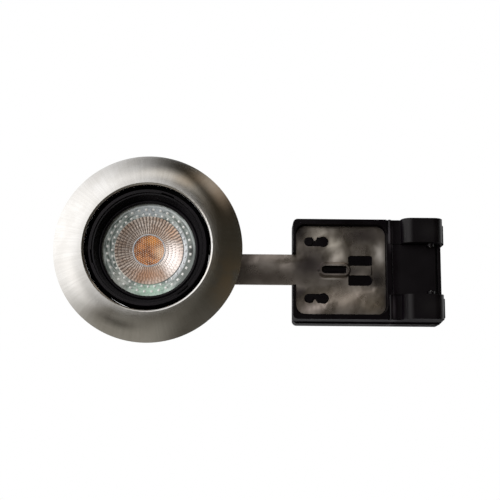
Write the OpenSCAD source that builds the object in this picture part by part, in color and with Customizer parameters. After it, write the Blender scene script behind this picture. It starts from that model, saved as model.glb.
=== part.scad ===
// Soffit downlight: a domed steel bezel round a tilting lamp, with a flat arm that carries a terminal box.
// Drawn as installed: the light shines down, along -Z. The origin is on the cut-out axis, in the plane
// where the bezel meets the soffit. The arm runs along +X and lies flat above the board.

/* [Trim ring] */
// Outer diameter of the bezel
trim_od = 90; // [86:1:100]
// Radius of the lamp opening at the rolled lip
lip_r = 29.9; // [29.6:0.1:31]
// How far the lip stands below the soffit
trim_depth = 4.9; // [4.5:0.1:6.5]
// Outer radius of the rolled lip
lip_roll = 1.1; // [1.1:0.1:2]
// Sheet thickness of the bezel
trim_sheet = 0.8; // [0.6:0.1:1]
// Diameter of the hole cut in the soffit
cutout_d = 75; // [74.5:0.5:78]

/* [Mounting ring] */
// Radial space between the lip and the inside of the collar
collar_gap = 2.3; // [2:0.1:2.5]
// Wall of the collar and its upright tabs
ring_wall = 1.4; // [1.1:0.1:1.7]
// Thickness of the flange that the bezel is rolled over
flange_t = 1.1; // [0.9:0.1:1.3]
// Height of the collar above the soffit plane
collar_top = 11.4; // [11:0.2:12.6]
// Height of the three tall tabs
tall_tab_top = 24; // [23:0.5:28]
// Width of each retaining spring
spring_w = 12; // [10:0.5:14]
// Thickness of the spring steel
spring_t = 0.5; // [0.4:0.1:0.7]
// Thickness of board that the springs close over
board_t = 12; // [9:0.5:15]
// Radius that the spring tips reach when free
spring_reach = 42; // [40.5:0.5:43]

/* [Gimbal] */
// Height of the tilt axis above the soffit plane
pivot_z = 5; // [4.6:0.1:5.6]
// Gap between the lip and the ball-shaped gimbal ring
gimbal_gap = 0.8; // [0.5:0.1:1]
// Wall of the gimbal ring at its widest
gimbal_wall = 2.6; // [2.3:0.1:2.8]
// How far the gimbal ring reaches below its axis
gimbal_front = 8.2; // [7.6:0.1:8.8]
// How far the gimbal ring reaches above its axis
gimbal_rear = 6.6; // [6.2:0.1:8]
// Diameter of the two pivot pins
pivot_d = 3; // [2.4:0.1:3.4]

/* [Baffle] */
// Radius of the hole that the lamp shows through
baffle_hole_r = 22.4; // [21.8:0.1:22.8]
// Radius of the glossy bead round that hole
bead_r = 1; // [0.8:0.05:1.1]
// Number of anti-glare steps
step_count = 4; // [3:1:6]
// Length of arc of each of the three bayonet lugs
lug_angle = 12; // [8:1:16]
// Turn that frees the bayonet
baffle_turn = 20; // [14:1:26]

/* [Lamp] */
// Lamp diameter over the rim
lamp_d = 50; // [49.4:0.1:50.6]
// Height of the lamp face above the soffit plane
lamp_face_z = 5.3; // [5:0.1:5.8]
// Length from the face to the end of the cap
lamp_len = 46; // [44:0.5:50]
// Height of the rim of the glass
lamp_rim_h = 3.2; // [2.8:0.1:3.4]
// Spacing of the two contact pins
pin_pitch = 10; // [9.6:0.1:10.4]
// Turn that frees the lampholder from the pins
holder_turn = 18; // [12:1:22]

/* [Lampholder] */
// Diameter of the lampholder
holder_d = 29; // [27:0.5:31]
// Length of the lampholder without its cap
holder_len = 16; // [14:0.5:18]

/* [Arm] */
// Height of the underside of the flat arm
arm_z = 62.5; // [60:0.5:70]
// Width of the flat arm
arm_w = 16.6; // [15:0.2:17]
// Thickness of the steel
arm_t = 1; // [0.8:0.1:1.2]
// Inside radius of the bend
arm_bend = 2.5; // [1.5:0.5:4]
// Distance from the cut-out axis to the near edge of the plate
plate_x = 73.9; // [66:0.5:86]
// Side of the square plate
plate_side = 48; // [46:0.5:52]
// Corner radius of the plate
plate_corner = 5; // [3:0.5:6]
// Half the spacing of the two keyhole slots
keyhole_y = 15.4; // [14.8:0.1:16]
// Height of the raised boss in the plate
boss_h = 1.9; // [1.2:0.1:2.2]
// Height of the raised bridge in the plate
bridge_h = 0.6; // [0.4:0.1:1.4]

/* [Terminal box] */
// Width of the front shell
box_w = 54; // [53:0.5:60]
// How far the rim of the front shell stands in front of the plate
rim_h = 4.9; // [4:0.1:6]
// Depth of the front shell behind the plate
front_depth = 9; // [8.5:0.5:12]
// Depth of the rear shell
rear_depth = 13; // [12.6:0.2:17]
// Length of the end of the box beyond the plate recess
end_len = 29; // [29:0.5:33]
// How much wider the rear shell is on each side
rear_step = 1; // [0.6:0.1:1.4]
// Wall of both shells
box_wall = 1.8; // [1.5:0.1:2]
// Height of the humps in front of the rim
hump_h = 5.5; // [4.5:0.1:6.5]
// Shoulder radius of the humps
hump_round = 5.5; // [4.5:0.1:6]
// Half the width of the bay between the humps
bay_half = 13.8; // [13.4:0.1:15]
// Thickness of the flap in the bay
flap_t = 2; // [1.6:0.1:2.2]
// Diameter of the two flap pins
flap_pin_d = 2; // [1.6:0.1:2.4]
// Bore of each cable grommet
cable_d = 7.2; // [6:0.2:7.6]
// Bore of the grommet for the lamp leads
lead_d = 3.6; // [3:0.2:4.4]

/* [Terminal block] */
// Number of poles
poles = 3; // [2:1:3]
// Spacing of the poles
pole_pitch = 7.5; // [7:0.1:8]
// Length of the block along the wires
block_len = 14; // [13:0.5:16]
// Height of the block
block_h = 13; // [12:0.5:13.4]

/* [Clearances] */
// Radial clearance of a pin that turns in its hole
pin_fit = 0.05; // [0.03:0.01:0.1]
// Clearance between pieces that slide or seat
seat_fit = 0.1; // [0.05:0.01:0.15]
// Clearance of each retaining spring over its tab
hook_fit = 0.15; // [0.1:0.01:0.25]
// Clearance round moulded pieces
mould_fit = 0.3; // [0.2:0.05:0.4]

/* [Hidden] */
$fn = 96;
lap = 0.01;
// trim ring
crown_r = lip_r + lip_roll;
trim_r = trim_od / 2;
dome_r = (pow(trim_r - crown_r, 2) + pow(trim_depth, 2)) / (2 * trim_depth);
flange_z = lip_roll + seat_fit - trim_depth;
flange_top = flange_z + flange_t;
function dome_inside(z) = crown_r + sqrt(pow(dome_r - trim_sheet, 2) - pow(z - dome_r + trim_depth, 2));
// mounting ring
collar_in = lip_r + collar_gap;
collar_out = collar_in + ring_wall;
tab_face = collar_out + 0.2;
tab_t = ring_wall + 0.2;
flange_r = dome_inside(flange_z) - mould_fit;
gasket_w = 3.5;
gasket_out = dome_inside(flange_top) - mould_fit;
gasket_in = gasket_out - gasket_w;
tab_round = 2;
short_tab_top = pivot_z + 5;
curl_r = 1.1;
rivet_r = 1.5;
rivet_head_r = 2.5;
rivet_head_h = 0.8;
// gimbal and its pins
gimbal_r = lip_r - gimbal_gap;
gimbal_bore = gimbal_r - gimbal_wall;
pivot_r = pivot_d / 2;
pivot_head_r = pivot_r + 1.1;
pivot_head_h = 1;
washer_r = pivot_head_r + 0.5;
washer_gap = washer_r + 0.3;
rib_z = collar_top - ring_wall;
rib_r = sqrt(pow(gimbal_r, 2) - pow(rib_z - pivot_z, 2)) + 0.35;
washer_t = 0.4;
// baffle
baffle_r = gimbal_bore - seat_fit;
baffle_front_z = pivot_z - gimbal_front + 1;
baffle_back_z = lamp_face_z - seat_fit;
baffle_lip = 0.8;
step_in = (baffle_r - baffle_lip - baffle_hole_r - 2 * bead_r) / step_count;
step_rise = (baffle_back_z - bead_r - baffle_front_z) / (step_count + 1);
lug_out = 0.6;
lug_h = 1.6;
lug_z = 1;
lug_count = 3;
lug_start = 30;
seam_angle = 100;
// lamp
lamp_r = lamp_d / 2;
glass_t = 1.2;
lens_t = 2.3;
lens_core_r = 0.3 * lamp_r;
lens_rows = 5;
lens_row_w = 0.072 * lamp_r;
ledge_z = lamp_face_z + lamp_rim_h + seat_fit;
ledge_r = lamp_r - 0.8;
ledge_t = 1.6;
bowl_end_z = lamp_face_z + 0.7 * lamp_len;
bowl_end_r = 15.2;
bowl_steps = 12;
cap_r = 15;
cap_end_z = lamp_face_z + lamp_len;
cap_nose_h = 0.12 * lamp_len;
driver_h = cap_end_z - cap_nose_h - bowl_end_z - 2.5;
cap_nose_w = 19;
contact_r = 1.5;
contact_head_r = 2.5;
contact_head_h = 2.6;
// lampholder
holder_r = holder_d / 2;
holder_z = cap_end_z + 2 * seat_fit;
face_t = 3.6;
stem_end_z = holder_z + face_t + 0.5;
head_end_z = stem_end_z + contact_head_h;
holder_end_z = holder_z + holder_len;
contact_gap_z = head_end_z + mould_fit;
cavity_top_z = contact_gap_z + 2.4;
cavity_r = pin_pitch / 2 + contact_head_r + 1.4;
holder_cap_t = 2.4;
holder_screw_y = 10.4;
// arm
leg_x = tab_face;
leg_foot_z = short_tab_top - 1;
plate_back_z = arm_z + arm_t;
plate_end_x = plate_x + plate_side;
boss_x = plate_x + 13.6;
boss_len = 14;
boss_slot_r = 2.1;
boss_top_r = 3.1;
boss_base_r = 4.3;
bridge_x = plate_x + 28;
bridge_len = 13;
bridge_w = 5.1;
bridge_y = 0.25;
side_slot_w = 5.6;
lobe_r = 2.9;
lobe_near_x = plate_x + 6.8;
lobe_far_x = plate_x + 14.6;
// terminal box
plate_gap = 0.3;
rim_z = arm_z - rim_h;
floor_t = box_wall;
floor_z = plate_back_z + floor_t;
split_z = arm_z + front_depth;
back_z = split_z + rear_depth;
box_x = plate_x - plate_gap - 1.6;
recess_end_x = plate_end_x + plate_gap;
box_end_x = recess_end_x + end_len;
box_half = box_w / 2;
rear_half = box_half + rear_step;
box_corner = 2.5;
cavity_half = box_half - box_wall;
valley_z = rim_z + 1.5;
ridge_x = recess_end_x + 0.8;
ridge_w = 1.8;
hump_top_z = rim_z - hump_h;
hump_x = recess_end_x + 7.7;
hump_end_x = box_end_x + 0.8;
hump_z = hump_top_z + hump_round;
core_x = hump_x + box_wall;
core_end_x = hump_x + 12.5;
bay_x = recess_end_x + 2.7;
bay_end_x = box_end_x - box_wall;
flap_z = rim_z + 1;
flap_back_z = flap_z + flap_t;
window_x = bay_x + 2.4;
window_end_x = window_x + 15.4;
window_half = bay_half - 2.6;
flap_pin_r = flap_pin_d / 2;
flap_pin_x = box_end_x - 6.2;
flap_pin_z = rim_z - 1.8;
flap_ear_r = 2;
flap_ear_t = 1.5;
flap_tail_x = bay_end_x - mould_fit - 0.9;
flap_tail_r = norm([flap_tail_x - flap_pin_x, flap_back_z - flap_pin_z]);
grommet_r = cable_d / 2 + 1.2;
grommet_flange_r = grommet_r + 0.7;
rear_x = box_x + 0.6;
rear_corner_in = 0.7;
inlet_y = rear_half - box_wall - grommet_flange_r - rear_corner_in;
inlet_z = (split_z + back_z - box_wall) / 2;
inlet_out = 2.9;
inlet_half = 5.3;
inlet_block_z = split_z - 6.5;
lead_r = lead_d / 2;
screw_r = 1.3;
screw_head_r = 2.6;
screw_post_r = 3.3;
recess_w = 0.6;
recess_len = 2.4;
screw_x = [box_x + 6.2, recess_end_x + 4.2];
screw_y = box_half - 5.6;
peg_r = lobe_r - 0.4 - mould_fit;
// terminal block
block_x = (window_x + window_end_x) / 2;
block_half = (poles * pole_pitch + 1) / 2;
block_back_z = back_z - box_wall;
block_front_z = block_back_z - block_h;
wire_z = block_back_z - 5.4;
insert_r = 2.5;
wire_r = 1.7;
clamp_screw_x = block_len / 4;
clamp_head_r = 1.9;
clamp_shank_r = 1.2;

// ---------- shared shapes ----------

module ring(r_out, r_in, z0, z1) {
    translate([0, 0, z0])
        difference() {
            cylinder(r = r_out, h = z1 - z0);
            translate([0, 0, -1]) cylinder(r = r_in, h = z1 - z0 + 2);
        }
}

// flat outline with rounded corners, its lower left corner at the origin
module round_rect(w, h, r) {
    translate([r, 0]) square([w - 2 * r, h]);
    translate([0, r]) square([w, h - 2 * r]);
    for (x = [r, w - r], y = [r, h - r]) translate([x, y]) circle(r);
}

module round_box(x0, x1, half, z0, z1, r) {
    translate([x0, -half, z0]) linear_extrude(z1 - z0) round_rect(x1 - x0, 2 * half, r);
}

// an outline drawn in x and z, made solid from y0 to y1
module along_y(y0, y1) {
    translate([0, y1, 0]) rotate([90, 0, 0]) linear_extrude(y1 - y0) children();
}

// cross recess, cut downwards from z = 0
module cross_recess() {
    for (a = [0, 90])
        rotate([0, 0, a]) translate([-recess_len / 2, -recess_w / 2, -0.9]) cube([recess_len, recess_w, 2]);
}

// a cylinder along x
module rod_x(r, x0, x1) {
    translate([x0, 0, 0]) rotate([0, 90, 0]) cylinder(r = r, h = x1 - x0);
}

// a cylinder along y
module rod_y(r, y0, y1) {
    translate([0, y0, 0]) rotate([-90, 0, 0]) cylinder(r = r, h = y1 - y0);
}

module hoop(r, t) {
    difference() {
        circle(r);
        circle(r - t);
    }
}

module arc_sector(r_in, r_out, z0, z1, a0, a1) {
    rotate([0, 0, a0])
        rotate_extrude(angle = a1 - a0)
            translate([r_in, z0]) square([r_out - r_in, z1 - z0]);
}

// ---------- fixed pieces under the board ----------

module trim_section() {
    intersection() {
        translate([crown_r, dome_r - trim_depth]) hoop(dome_r, trim_sheet);
        translate([crown_r, -trim_depth - 1]) square([trim_r, trim_depth + 1]);
    }
    intersection() {
        translate([crown_r, lip_roll - trim_depth]) hoop(lip_roll, trim_sheet);
        translate([lip_r - 1, -trim_depth - 1]) square([lip_roll + 1, lip_roll + 1]);
    }
    translate([lip_r, lip_roll - trim_depth])
        square([trim_sheet, flange_top + trim_sheet - lip_roll + trim_depth]);
    translate([lip_r, flange_top]) square([collar_in - seat_fit - lip_r, trim_sheet]);
}

module trim_ring() {
    color([0.72, 0.70, 0.66]) rotate_extrude() trim_section();
}

module trim_gasket() {
    color([0.15, 0.15, 0.15]) ring(gasket_out, gasket_in, flange_top, 0);
}

// an upright tab on the +X side, with rounded top corners and holes at the given heights
module tab(width, top, hole_r, hole_z) {
    difference() {
        translate([tab_face - tab_t, 0, 0])
            rotate([90, 0, 90])
                linear_extrude(tab_t)
                    translate([-width / 2, flange_z])
                        union() {
                            square([width, top - tab_round - flange_z]);
                            translate([0, top - flange_z - 2 * tab_round])
                                round_rect(width, 2 * tab_round, tab_round - lap);
                        }
        for (z = hole_z) translate([0, 0, z]) rod_x(hole_r, tab_face - tab_t - 1, tab_face + 1);
    }
}

module mounting_ring() {
    color([0.62, 0.62, 0.62]) difference() {
        union() {
            rotate_extrude() {
                translate([lip_r + trim_sheet + pin_fit, flange_z])
                    square([flange_r - lip_r - trim_sheet - pin_fit, flange_t]);
                translate([collar_in, flange_z]) square([ring_wall, collar_top - flange_z]);
                translate([rib_r, rib_z]) square([collar_in + lap - rib_r, ring_wall]);
            }
            tab(arm_w + 2, tall_tab_top, rivet_r, arm_rivet_z);
            rotate([0, 0, 180]) tab(pivot_d + 9, short_tab_top, pivot_r, []);
            for (a = [90, -90]) rotate([0, 0, a]) tab(spring_w + 3, tall_tab_top, rivet_r, []);
        }
        for (a = [0, 180])
            rotate([0, 0, a])
                translate([0, 0, pivot_z]) {
                    rod_x(pivot_r + pin_fit, collar_in - 2, tab_face + 1);
                    translate([gimbal_r, -washer_gap, -washer_gap])
                        cube([tab_face - tab_t - gimbal_r, 2 * washer_gap, 2 * washer_gap]);
                }
    }
}

// ---------- arm ----------

arm_rivet_z = [leg_foot_z + 4.5, tall_tab_top - 4];

module arm_profile() {
    bend_out = arm_bend + arm_t;
    translate([leg_x, leg_foot_z]) square([arm_t, plate_back_z - bend_out - leg_foot_z]);
    translate([leg_x + bend_out, plate_back_z - bend_out])
        intersection() {
            hoop(bend_out, arm_t);
            translate([-bend_out - 1, 0]) square([bend_out + 1, bend_out + 1]);
        }
    translate([leg_x + bend_out, arm_z]) square([plate_x + 1 - leg_x - bend_out, arm_t]);
}

// slot with a round hole at its far end and a pointed locking tooth on its outer edge, outline for y > 0
module keyhole() {
    near_r = lobe_r - 0.4;
    difference() {
        union() {
            translate([lobe_near_x, keyhole_y]) circle(near_r);
            translate([lobe_far_x, keyhole_y]) circle(lobe_r);
            translate([lobe_near_x, keyhole_y - near_r]) square([lobe_far_x - lobe_near_x, 2 * near_r]);
        }
        translate([(lobe_near_x + lobe_far_x) / 2 - 0.6, keyhole_y])
            polygon([[-1.8, lobe_r], [1.6, lobe_r], [0.3, 0.6], [-0.3, 0.6]]);
    }
}

module side_slots() {
    upper = bridge_y - bridge_w / 2 - side_slot_w;
    lower = bridge_y + bridge_w / 2;
    translate([bridge_x, upper]) round_rect(bridge_len, side_slot_w, 1.2);
    translate([bridge_x, lower]) difference() {
        union() {
            square([bridge_len - side_slot_w / 2, side_slot_w]);
            translate([bridge_len - side_slot_w / 2, side_slot_w / 2]) circle(side_slot_w / 2);
        }
        translate([-1, side_slot_w - 1.2]) polygon([[0, 0], [2.6, 2], [0, 2]]);
    }
}

// the boss in section: r from the slot outwards, z from the plate's underside
module boss_section() {
    polygon([
        [boss_slot_r, -boss_h], [boss_top_r, -boss_h], [boss_base_r, 0], [boss_base_r, arm_t],
        [boss_base_r - 0.8, arm_t], [boss_top_r - 0.5, arm_t - boss_h], [boss_slot_r, arm_t - boss_h]
    ]);
}

module raised_boss() {
    half = boss_len / 2 - boss_slot_r;
    for (s = [0, 1])
        mirror([s, 0, 0]) {
            translate([half, 0, 0]) rotate([0, 0, -90]) rotate_extrude(angle = 180) boss_section();
            translate([-lap, 0, 0])
                for (m = [0, 1])
                    mirror([0, m, 0])
                        rotate([90, 0, 90]) linear_extrude(half + 2 * lap) boss_section();
        }
}

module bridge_profile() {
    slope = bridge_h * 1.2;
    polygon([
        [-1, 0], [0.2, 0], [slope, -bridge_h], [bridge_len - slope, -bridge_h], [bridge_len - 0.2, 0],
        [bridge_len + 1, 0], [bridge_len + 1, arm_t], [bridge_len - 0.6, arm_t],
        [bridge_len - slope - 0.5, arm_t - bridge_h], [slope + 0.5, arm_t - bridge_h],
        [0.6, arm_t], [-1, arm_t]
    ]);
}

module arm_plate() {
    boss_half = boss_len / 2 - boss_slot_r;
    difference() {
        translate([plate_x, -plate_side / 2, arm_z])
            linear_extrude(arm_t) round_rect(plate_side, plate_side, plate_corner);
        translate([0, 0, arm_z - 1]) linear_extrude(arm_t + 2) {
            keyhole();
            mirror([0, 1]) keyhole();
            side_slots();
            translate([bridge_x, bridge_y - bridge_w / 2 - lap]) square([bridge_len, bridge_w + 2 * lap]);
            translate([boss_x + boss_len / 2, 0]) {
                for (x = [-boss_half, boss_half]) translate([x, 0]) circle(boss_base_r - 0.4);
                translate([-boss_half, 0.4 - boss_base_r]) square([2 * boss_half, 2 * boss_base_r - 0.8]);
            }
        }
    }
    translate([boss_x + boss_len / 2, 0, arm_z]) raised_boss();
    translate([bridge_x, 0, arm_z])
        along_y(bridge_y - bridge_w / 2, bridge_y + bridge_w / 2) bridge_profile();
}

module arm_bracket() {
    color([0.60, 0.57, 0.54]) union() {
        difference() {
            along_y(-arm_w / 2, arm_w / 2) arm_profile();
            for (z = arm_rivet_z)
                translate([0, 0, z]) rod_x(rivet_r + pin_fit, leg_x - 1, leg_x + arm_t + 1);
            for (s = [-1, 1])
                translate([leg_x - 1, s * arm_w / 2, leg_foot_z])
                    rotate([0, 90, 0]) rotate([0, 0, 45]) cube([4, 4, 6], center = true);
        }
        arm_plate();
    }
}

module arm_rivets() {
    color([0.7, 0.7, 0.7])
        for (z = arm_rivet_z)
            translate([0, 0, z]) {
                rod_x(rivet_r - lap, tab_face - tab_t - rivet_head_h, leg_x + arm_t + rivet_head_h);
                rod_x(rivet_head_r, leg_x + arm_t, leg_x + arm_t + rivet_head_h);
                rod_x(rivet_head_r - 0.4, tab_face - tab_t - rivet_head_h, tab_face - tab_t);
            }
}

// ---------- retaining springs ----------

// a spring-steel hook over the top of a tab, its blade running out and down to a curled tip
module spring_profile() {
    top = tall_tab_top + hook_fit;
    x_in = tab_face - tab_t - hook_fit;
    x_out = tab_face + hook_fit;
    crest = (x_out - x_in) / 2;
    run = spring_reach - curl_r / 2 - x_out;
    drop = top - board_t - curl_r - 0.3;
    blade = sqrt(run * run + drop * drop);
    lean = atan2(run, drop);
    translate([x_in + crest, top]) intersection() {
        hoop(crest + spring_t, spring_t);
        translate([-crest - spring_t, 0]) square([2 * crest + 2 * spring_t, crest + spring_t + 1]);
    }
    translate([x_in - spring_t, top - 6]) square([spring_t, 6 + lap]);
    translate([x_out, top]) rotate(lean - 90) {
        square([blade, spring_t]);
        translate([blade, spring_t - curl_r]) intersection() {
            hoop(curl_r, spring_t);
            translate([-lap, -curl_r - 1]) square([curl_r + 1, 2 * curl_r + 2]);
        }
    }
}

module retaining_spring() {
    color([0.75, 0.75, 0.72]) along_y(-spring_w / 2, spring_w / 2) spring_profile();
}

module retaining_spring_a() {
    rotate([0, 0, 90]) retaining_spring();
}

module retaining_spring_b() {
    rotate([0, 0, -90]) retaining_spring();
}

// ---------- gimbal, pivots and baffle ----------

module gimbal_ring() {
    rear_z = pivot_z + gimbal_rear;
    front_z = pivot_z - gimbal_front;
    color([0.06, 0.06, 0.06]) difference() {
        rotate([0, 0, seam_angle]) rotate_extrude() difference() {
            intersection() {
                translate([0, pivot_z]) circle(gimbal_r);
                translate([ledge_r, front_z]) square([gimbal_r, rear_z - front_z]);
            }
            translate([0, front_z - 1]) square([gimbal_bore, ledge_z - front_z + 1]);
            translate([0, ledge_z + ledge_t]) square([gimbal_bore, rear_z]);
        }
        for (i = [0 : lug_count - 1])
            rotate([0, 0, lug_start + 360 / lug_count * i]) {
                arc_sector(gimbal_bore - 1, gimbal_bore + lug_out, lug_z - seat_fit, lug_z + lug_h + seat_fit,
                    -lug_angle / 2 - 1, lug_angle / 2 + baffle_turn + 1.5);
                arc_sector(gimbal_bore - 1.2, gimbal_bore + lug_out - 0.03, front_z - 1, lug_z + lug_h / 2,
                    baffle_turn - lug_angle / 2 - 1, lug_angle / 2 + baffle_turn + 1);
            }
        for (a = [0, 180])
            rotate([0, 0, a])
                translate([0, 0, pivot_z]) rod_x(pivot_r + 0.02, gimbal_bore + 0.5, gimbal_r + 1);
    }
}

module pivot_pins() {
    color([0.7, 0.7, 0.7])
        for (a = [0, 180])
            rotate([0, 0, a])
                translate([0, 0, pivot_z]) {
                    rod_x(pivot_r, gimbal_bore + 0.7, tab_face + seat_fit + pivot_head_h);
                    rod_x(pivot_head_r, gimbal_r, tab_face - tab_t - washer_t - 2 * seat_fit);
                    rod_x(pivot_head_r, tab_face + seat_fit, tab_face + seat_fit + pivot_head_h);
                }
}

module pivot_washers() {
    washer_x = tab_face - tab_t - washer_t - seat_fit;
    color([0.8, 0.8, 0.78])
        for (a = [0, 180])
            rotate([0, 0, a])
                translate([washer_x, 0, pivot_z])
                    rotate([0, 90, 0]) ring(washer_r, pivot_r + pin_fit, 0, washer_t);
}

module baffle_ring() {
    color([0.05, 0.05, 0.05]) {
        rotate([0, 0, seam_angle]) rotate_extrude() {
            translate([baffle_r - baffle_lip, baffle_front_z])
                square([baffle_lip, baffle_back_z - baffle_front_z]);
            for (i = [1 : step_count])
                translate([baffle_r - baffle_lip - i * step_in, baffle_front_z + i * step_rise])
                    square([i * step_in + lap, baffle_back_z - baffle_front_z - i * step_rise]);
            translate([baffle_hole_r + bead_r, baffle_back_z - bead_r]) circle(bead_r);
            translate([baffle_hole_r + bead_r, baffle_back_z - bead_r])
                square([bead_r + lap, 0.8 * bead_r]);
        }
        for (i = [0 : lug_count - 1])
            rotate([0, 0, lug_start + 360 / lug_count * i])
                arc_sector(baffle_r - 0.3, gimbal_bore + lug_out - seat_fit, lug_z, lug_z + lug_h,
                    -lug_angle / 2, lug_angle / 2);
    }
}

// ---------- lamp ----------

function bowl_r(t) = bowl_end_r + (ledge_r - 2 * seat_fit - bowl_end_r) * sqrt(1 - t);
function bowl_z(t) = lamp_face_z + lamp_rim_h + t * (bowl_end_z - lamp_face_z - lamp_rim_h);

module bowl_outline(inset) {
    polygon(concat(
        [[0, bowl_z(0)]],
        [for (i = [0 : bowl_steps]) [bowl_r(i / bowl_steps) - inset, bowl_z(i / bowl_steps)]],
        [[0, bowl_z(1)]]
    ));
}

module lamp_reflector() {
    rim_in = lamp_r - glass_t;
    color([0.85, 0.9, 0.9, 0.6]) rotate_extrude() difference() {
        union() {
            translate([0, lamp_face_z]) square([lamp_r, lamp_rim_h]);
            bowl_outline(0);
        }
        translate([0, lamp_face_z - 1]) square([rim_in, lens_t + 1]);
        translate([0, lamp_face_z + lens_t - lap]) square([rim_in - 1.4, lamp_rim_h - lens_t + 2 * lap]);
        translate([0, 0.2]) bowl_outline(glass_t);
        translate([0, bowl_end_z - 2]) square([bowl_end_r - glass_t, 4]);
    }
}

module lamp_lens() {
    lens_r = lamp_r - glass_t - seat_fit;
    color([0.8, 0.75, 0.7, 0.7]) union() {
        ring(lens_r, lens_core_r - lap, lamp_face_z + 0.5, lamp_face_z + lens_t - 0.05);
        translate([0, 0, lamp_face_z + 0.9]) cylinder(r = lens_core_r, h = lens_t - 0.95);
        ring(lens_r, lens_r - 1.2, lamp_face_z + 0.1, lamp_face_z + lens_t - 0.05);
        for (i = [1 : lens_rows])
            ring(lens_core_r + i * lens_row_w, lens_core_r + (i - 0.66) * lens_row_w,
                lamp_face_z + 0.25, lamp_face_z + 1);
    }
}

module led_board() {
    color([0.85, 0.85, 0.85])
        translate([0, 0, bowl_end_z - 2 + lap]) cylinder(r = bowl_end_r - glass_t - seat_fit, h = 1.6);
}

module led_patch() {
    color([0.95, 0.6, 0.2]) translate([0, 0, bowl_end_z - 3 + lap]) cylinder(r = 5.5, h = 1);
}

module lamp_cap() {
    color([0.9, 0.9, 0.88]) difference() {
        union() {
            translate([0, 0, bowl_end_z]) cylinder(r = cap_r, h = cap_end_z - cap_nose_h - bowl_end_z);
            intersection() {
                translate([0, 0, bowl_end_z]) cylinder(r = cap_r - 1, h = cap_end_z - bowl_end_z);
                translate([-cap_r, -cap_nose_w / 2, bowl_end_z]) cube([2 * cap_r, cap_nose_w, 40]);
            }
        }
        translate([0, 0, bowl_end_z - 1]) cylinder(r = cap_r - 2, h = cap_end_z - cap_nose_h - bowl_end_z);
        for (s = [-1, 1])
            translate([s * pin_pitch / 2, 0, bowl_end_z]) cylinder(r = contact_r + 0.02, h = 40);
    }
}

module driver_board() {
    color([0.1, 0.35, 0.2])
        translate([0, 0, bowl_end_z + 1]) {
            translate([-9, -0.8, 0]) cube([18, 1.6, driver_h]);
            translate([-4, 0.8 - lap, 1]) cube([7, 5, driver_h - 1.2]);
        }
}

module lamp_pins() {
    color([0.85, 0.8, 0.6])
        for (s = [-1, 1])
            translate([s * pin_pitch / 2, 0, 0]) {
                translate([0, 0, cap_end_z - 5]) cylinder(r = contact_r, h = head_end_z - cap_end_z + 5);
                translate([0, 0, stem_end_z]) cylinder(r = contact_head_r, h = contact_head_h);
            }
}

// ---------- lampholder ----------

module holder_body() {
    slot_r = contact_r + 0.25;
    head_hole_r = contact_head_r + 0.25;
    color([0.92, 0.9, 0.85]) difference() {
        translate([0, 0, holder_z]) cylinder(r = holder_r, h = holder_len);
        for (a = [0, 180])
            rotate([0, 0, a]) {
                arc_sector(pin_pitch / 2 - slot_r, pin_pitch / 2 + slot_r,
                    holder_z - 1, holder_z + face_t + 1, 0, holder_turn);
                translate([pin_pitch / 2, 0, holder_z - 1]) cylinder(r = slot_r, h = face_t + 2);
                rotate([0, 0, holder_turn])
                    translate([pin_pitch / 2, 0, holder_z - 1]) cylinder(r = head_hole_r, h = face_t + 2);
            }
        translate([0, 0, holder_z + face_t]) cylinder(r = cavity_r, h = cavity_top_z - holder_z - face_t);
        for (s = [-1, 1]) {
            translate([0, s * holder_screw_y, holder_end_z - 8]) cylinder(r = screw_r + pin_fit, h = 10);
            translate([s * 4, 0, cavity_top_z - 1]) cylinder(r = lead_r - 0.4, h = holder_len);
        }
    }
}

module holder_cap() {
    color([0.9, 0.88, 0.84]) difference() {
        translate([0, 0, holder_end_z]) cylinder(r = holder_r - 1, h = holder_cap_t);
        for (s = [-1, 1]) {
            translate([0, s * holder_screw_y, holder_end_z - 1]) cylinder(r = screw_r + pin_fit, h = 10);
            translate([s * 4, 0, holder_end_z - 1]) cylinder(r = lead_r - 0.4, h = 10);
        }
    }
}

module holder_contacts() {
    color([0.8, 0.65, 0.3])
        for (a = [0, 180])
            rotate([0, 0, a]) {
                arc_sector(pin_pitch / 2 - 1.6, pin_pitch / 2 + 1.6,
                    contact_gap_z, contact_gap_z + 0.6, -20, 40);
                arc_sector(pin_pitch / 2 - 1.4, pin_pitch / 2 + 1.4,
                    contact_gap_z + 0.3, cavity_top_z, 30, 38);
            }
}

module holder_screws() {
    color([0.7, 0.7, 0.7])
        for (s = [-1, 1])
            translate([0, s * holder_screw_y, 0]) {
                translate([0, 0, holder_end_z - 7.5]) cylinder(r = screw_r, h = 7.8 + holder_cap_t);
                translate([0, 0, holder_end_z + holder_cap_t]) difference() {
                    cylinder(r = screw_head_r - 0.2, h = 1.5);
                    translate([0, 0, 1.5]) cross_recess();
                }
            }
}

// ---------- terminal box ----------

// end of the box seen from the side: ridge, valley and hump
module hump_outline() {
    r = hump_round;
    translate([ridge_x + ridge_w / 2, rim_z + ridge_w / 2]) circle(ridge_w / 2);
    translate([ridge_x, rim_z + ridge_w / 2]) square([ridge_w, 3]);
    translate([recess_end_x, valley_z]) square([box_end_x - recess_end_x, split_z - valley_z]);
    for (x = [hump_x + r, hump_end_x - r]) translate([x, hump_z]) circle(r);
    translate([hump_x + r, hump_top_z]) square([hump_end_x - hump_x - 2 * r, r]);
    translate([hump_x, hump_z - lap]) square([hump_end_x - hump_x, split_z - hump_z]);
}

// block that stands out from the end wall round a cable inlet, as wide as its shell
module inlet_block(half, z0, z1) {
    inner = inlet_y - inlet_half;
    out_x = box_end_x + inlet_out;
    translate([0, 0, z0])
        linear_extrude(z1 - z0)
            polygon([
                [bay_end_x, inner], [out_x, inner], [out_x, half - 2], [out_x - 2, half], [bay_end_x, half]
            ]);
}

module front_blocks() {
    for (s = [0, 1])
        mirror([0, s, 0]) {
            along_y(bay_half, box_half - lap) hump_outline();
            inlet_block(box_half, inlet_block_z, split_z);
        }
}

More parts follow.
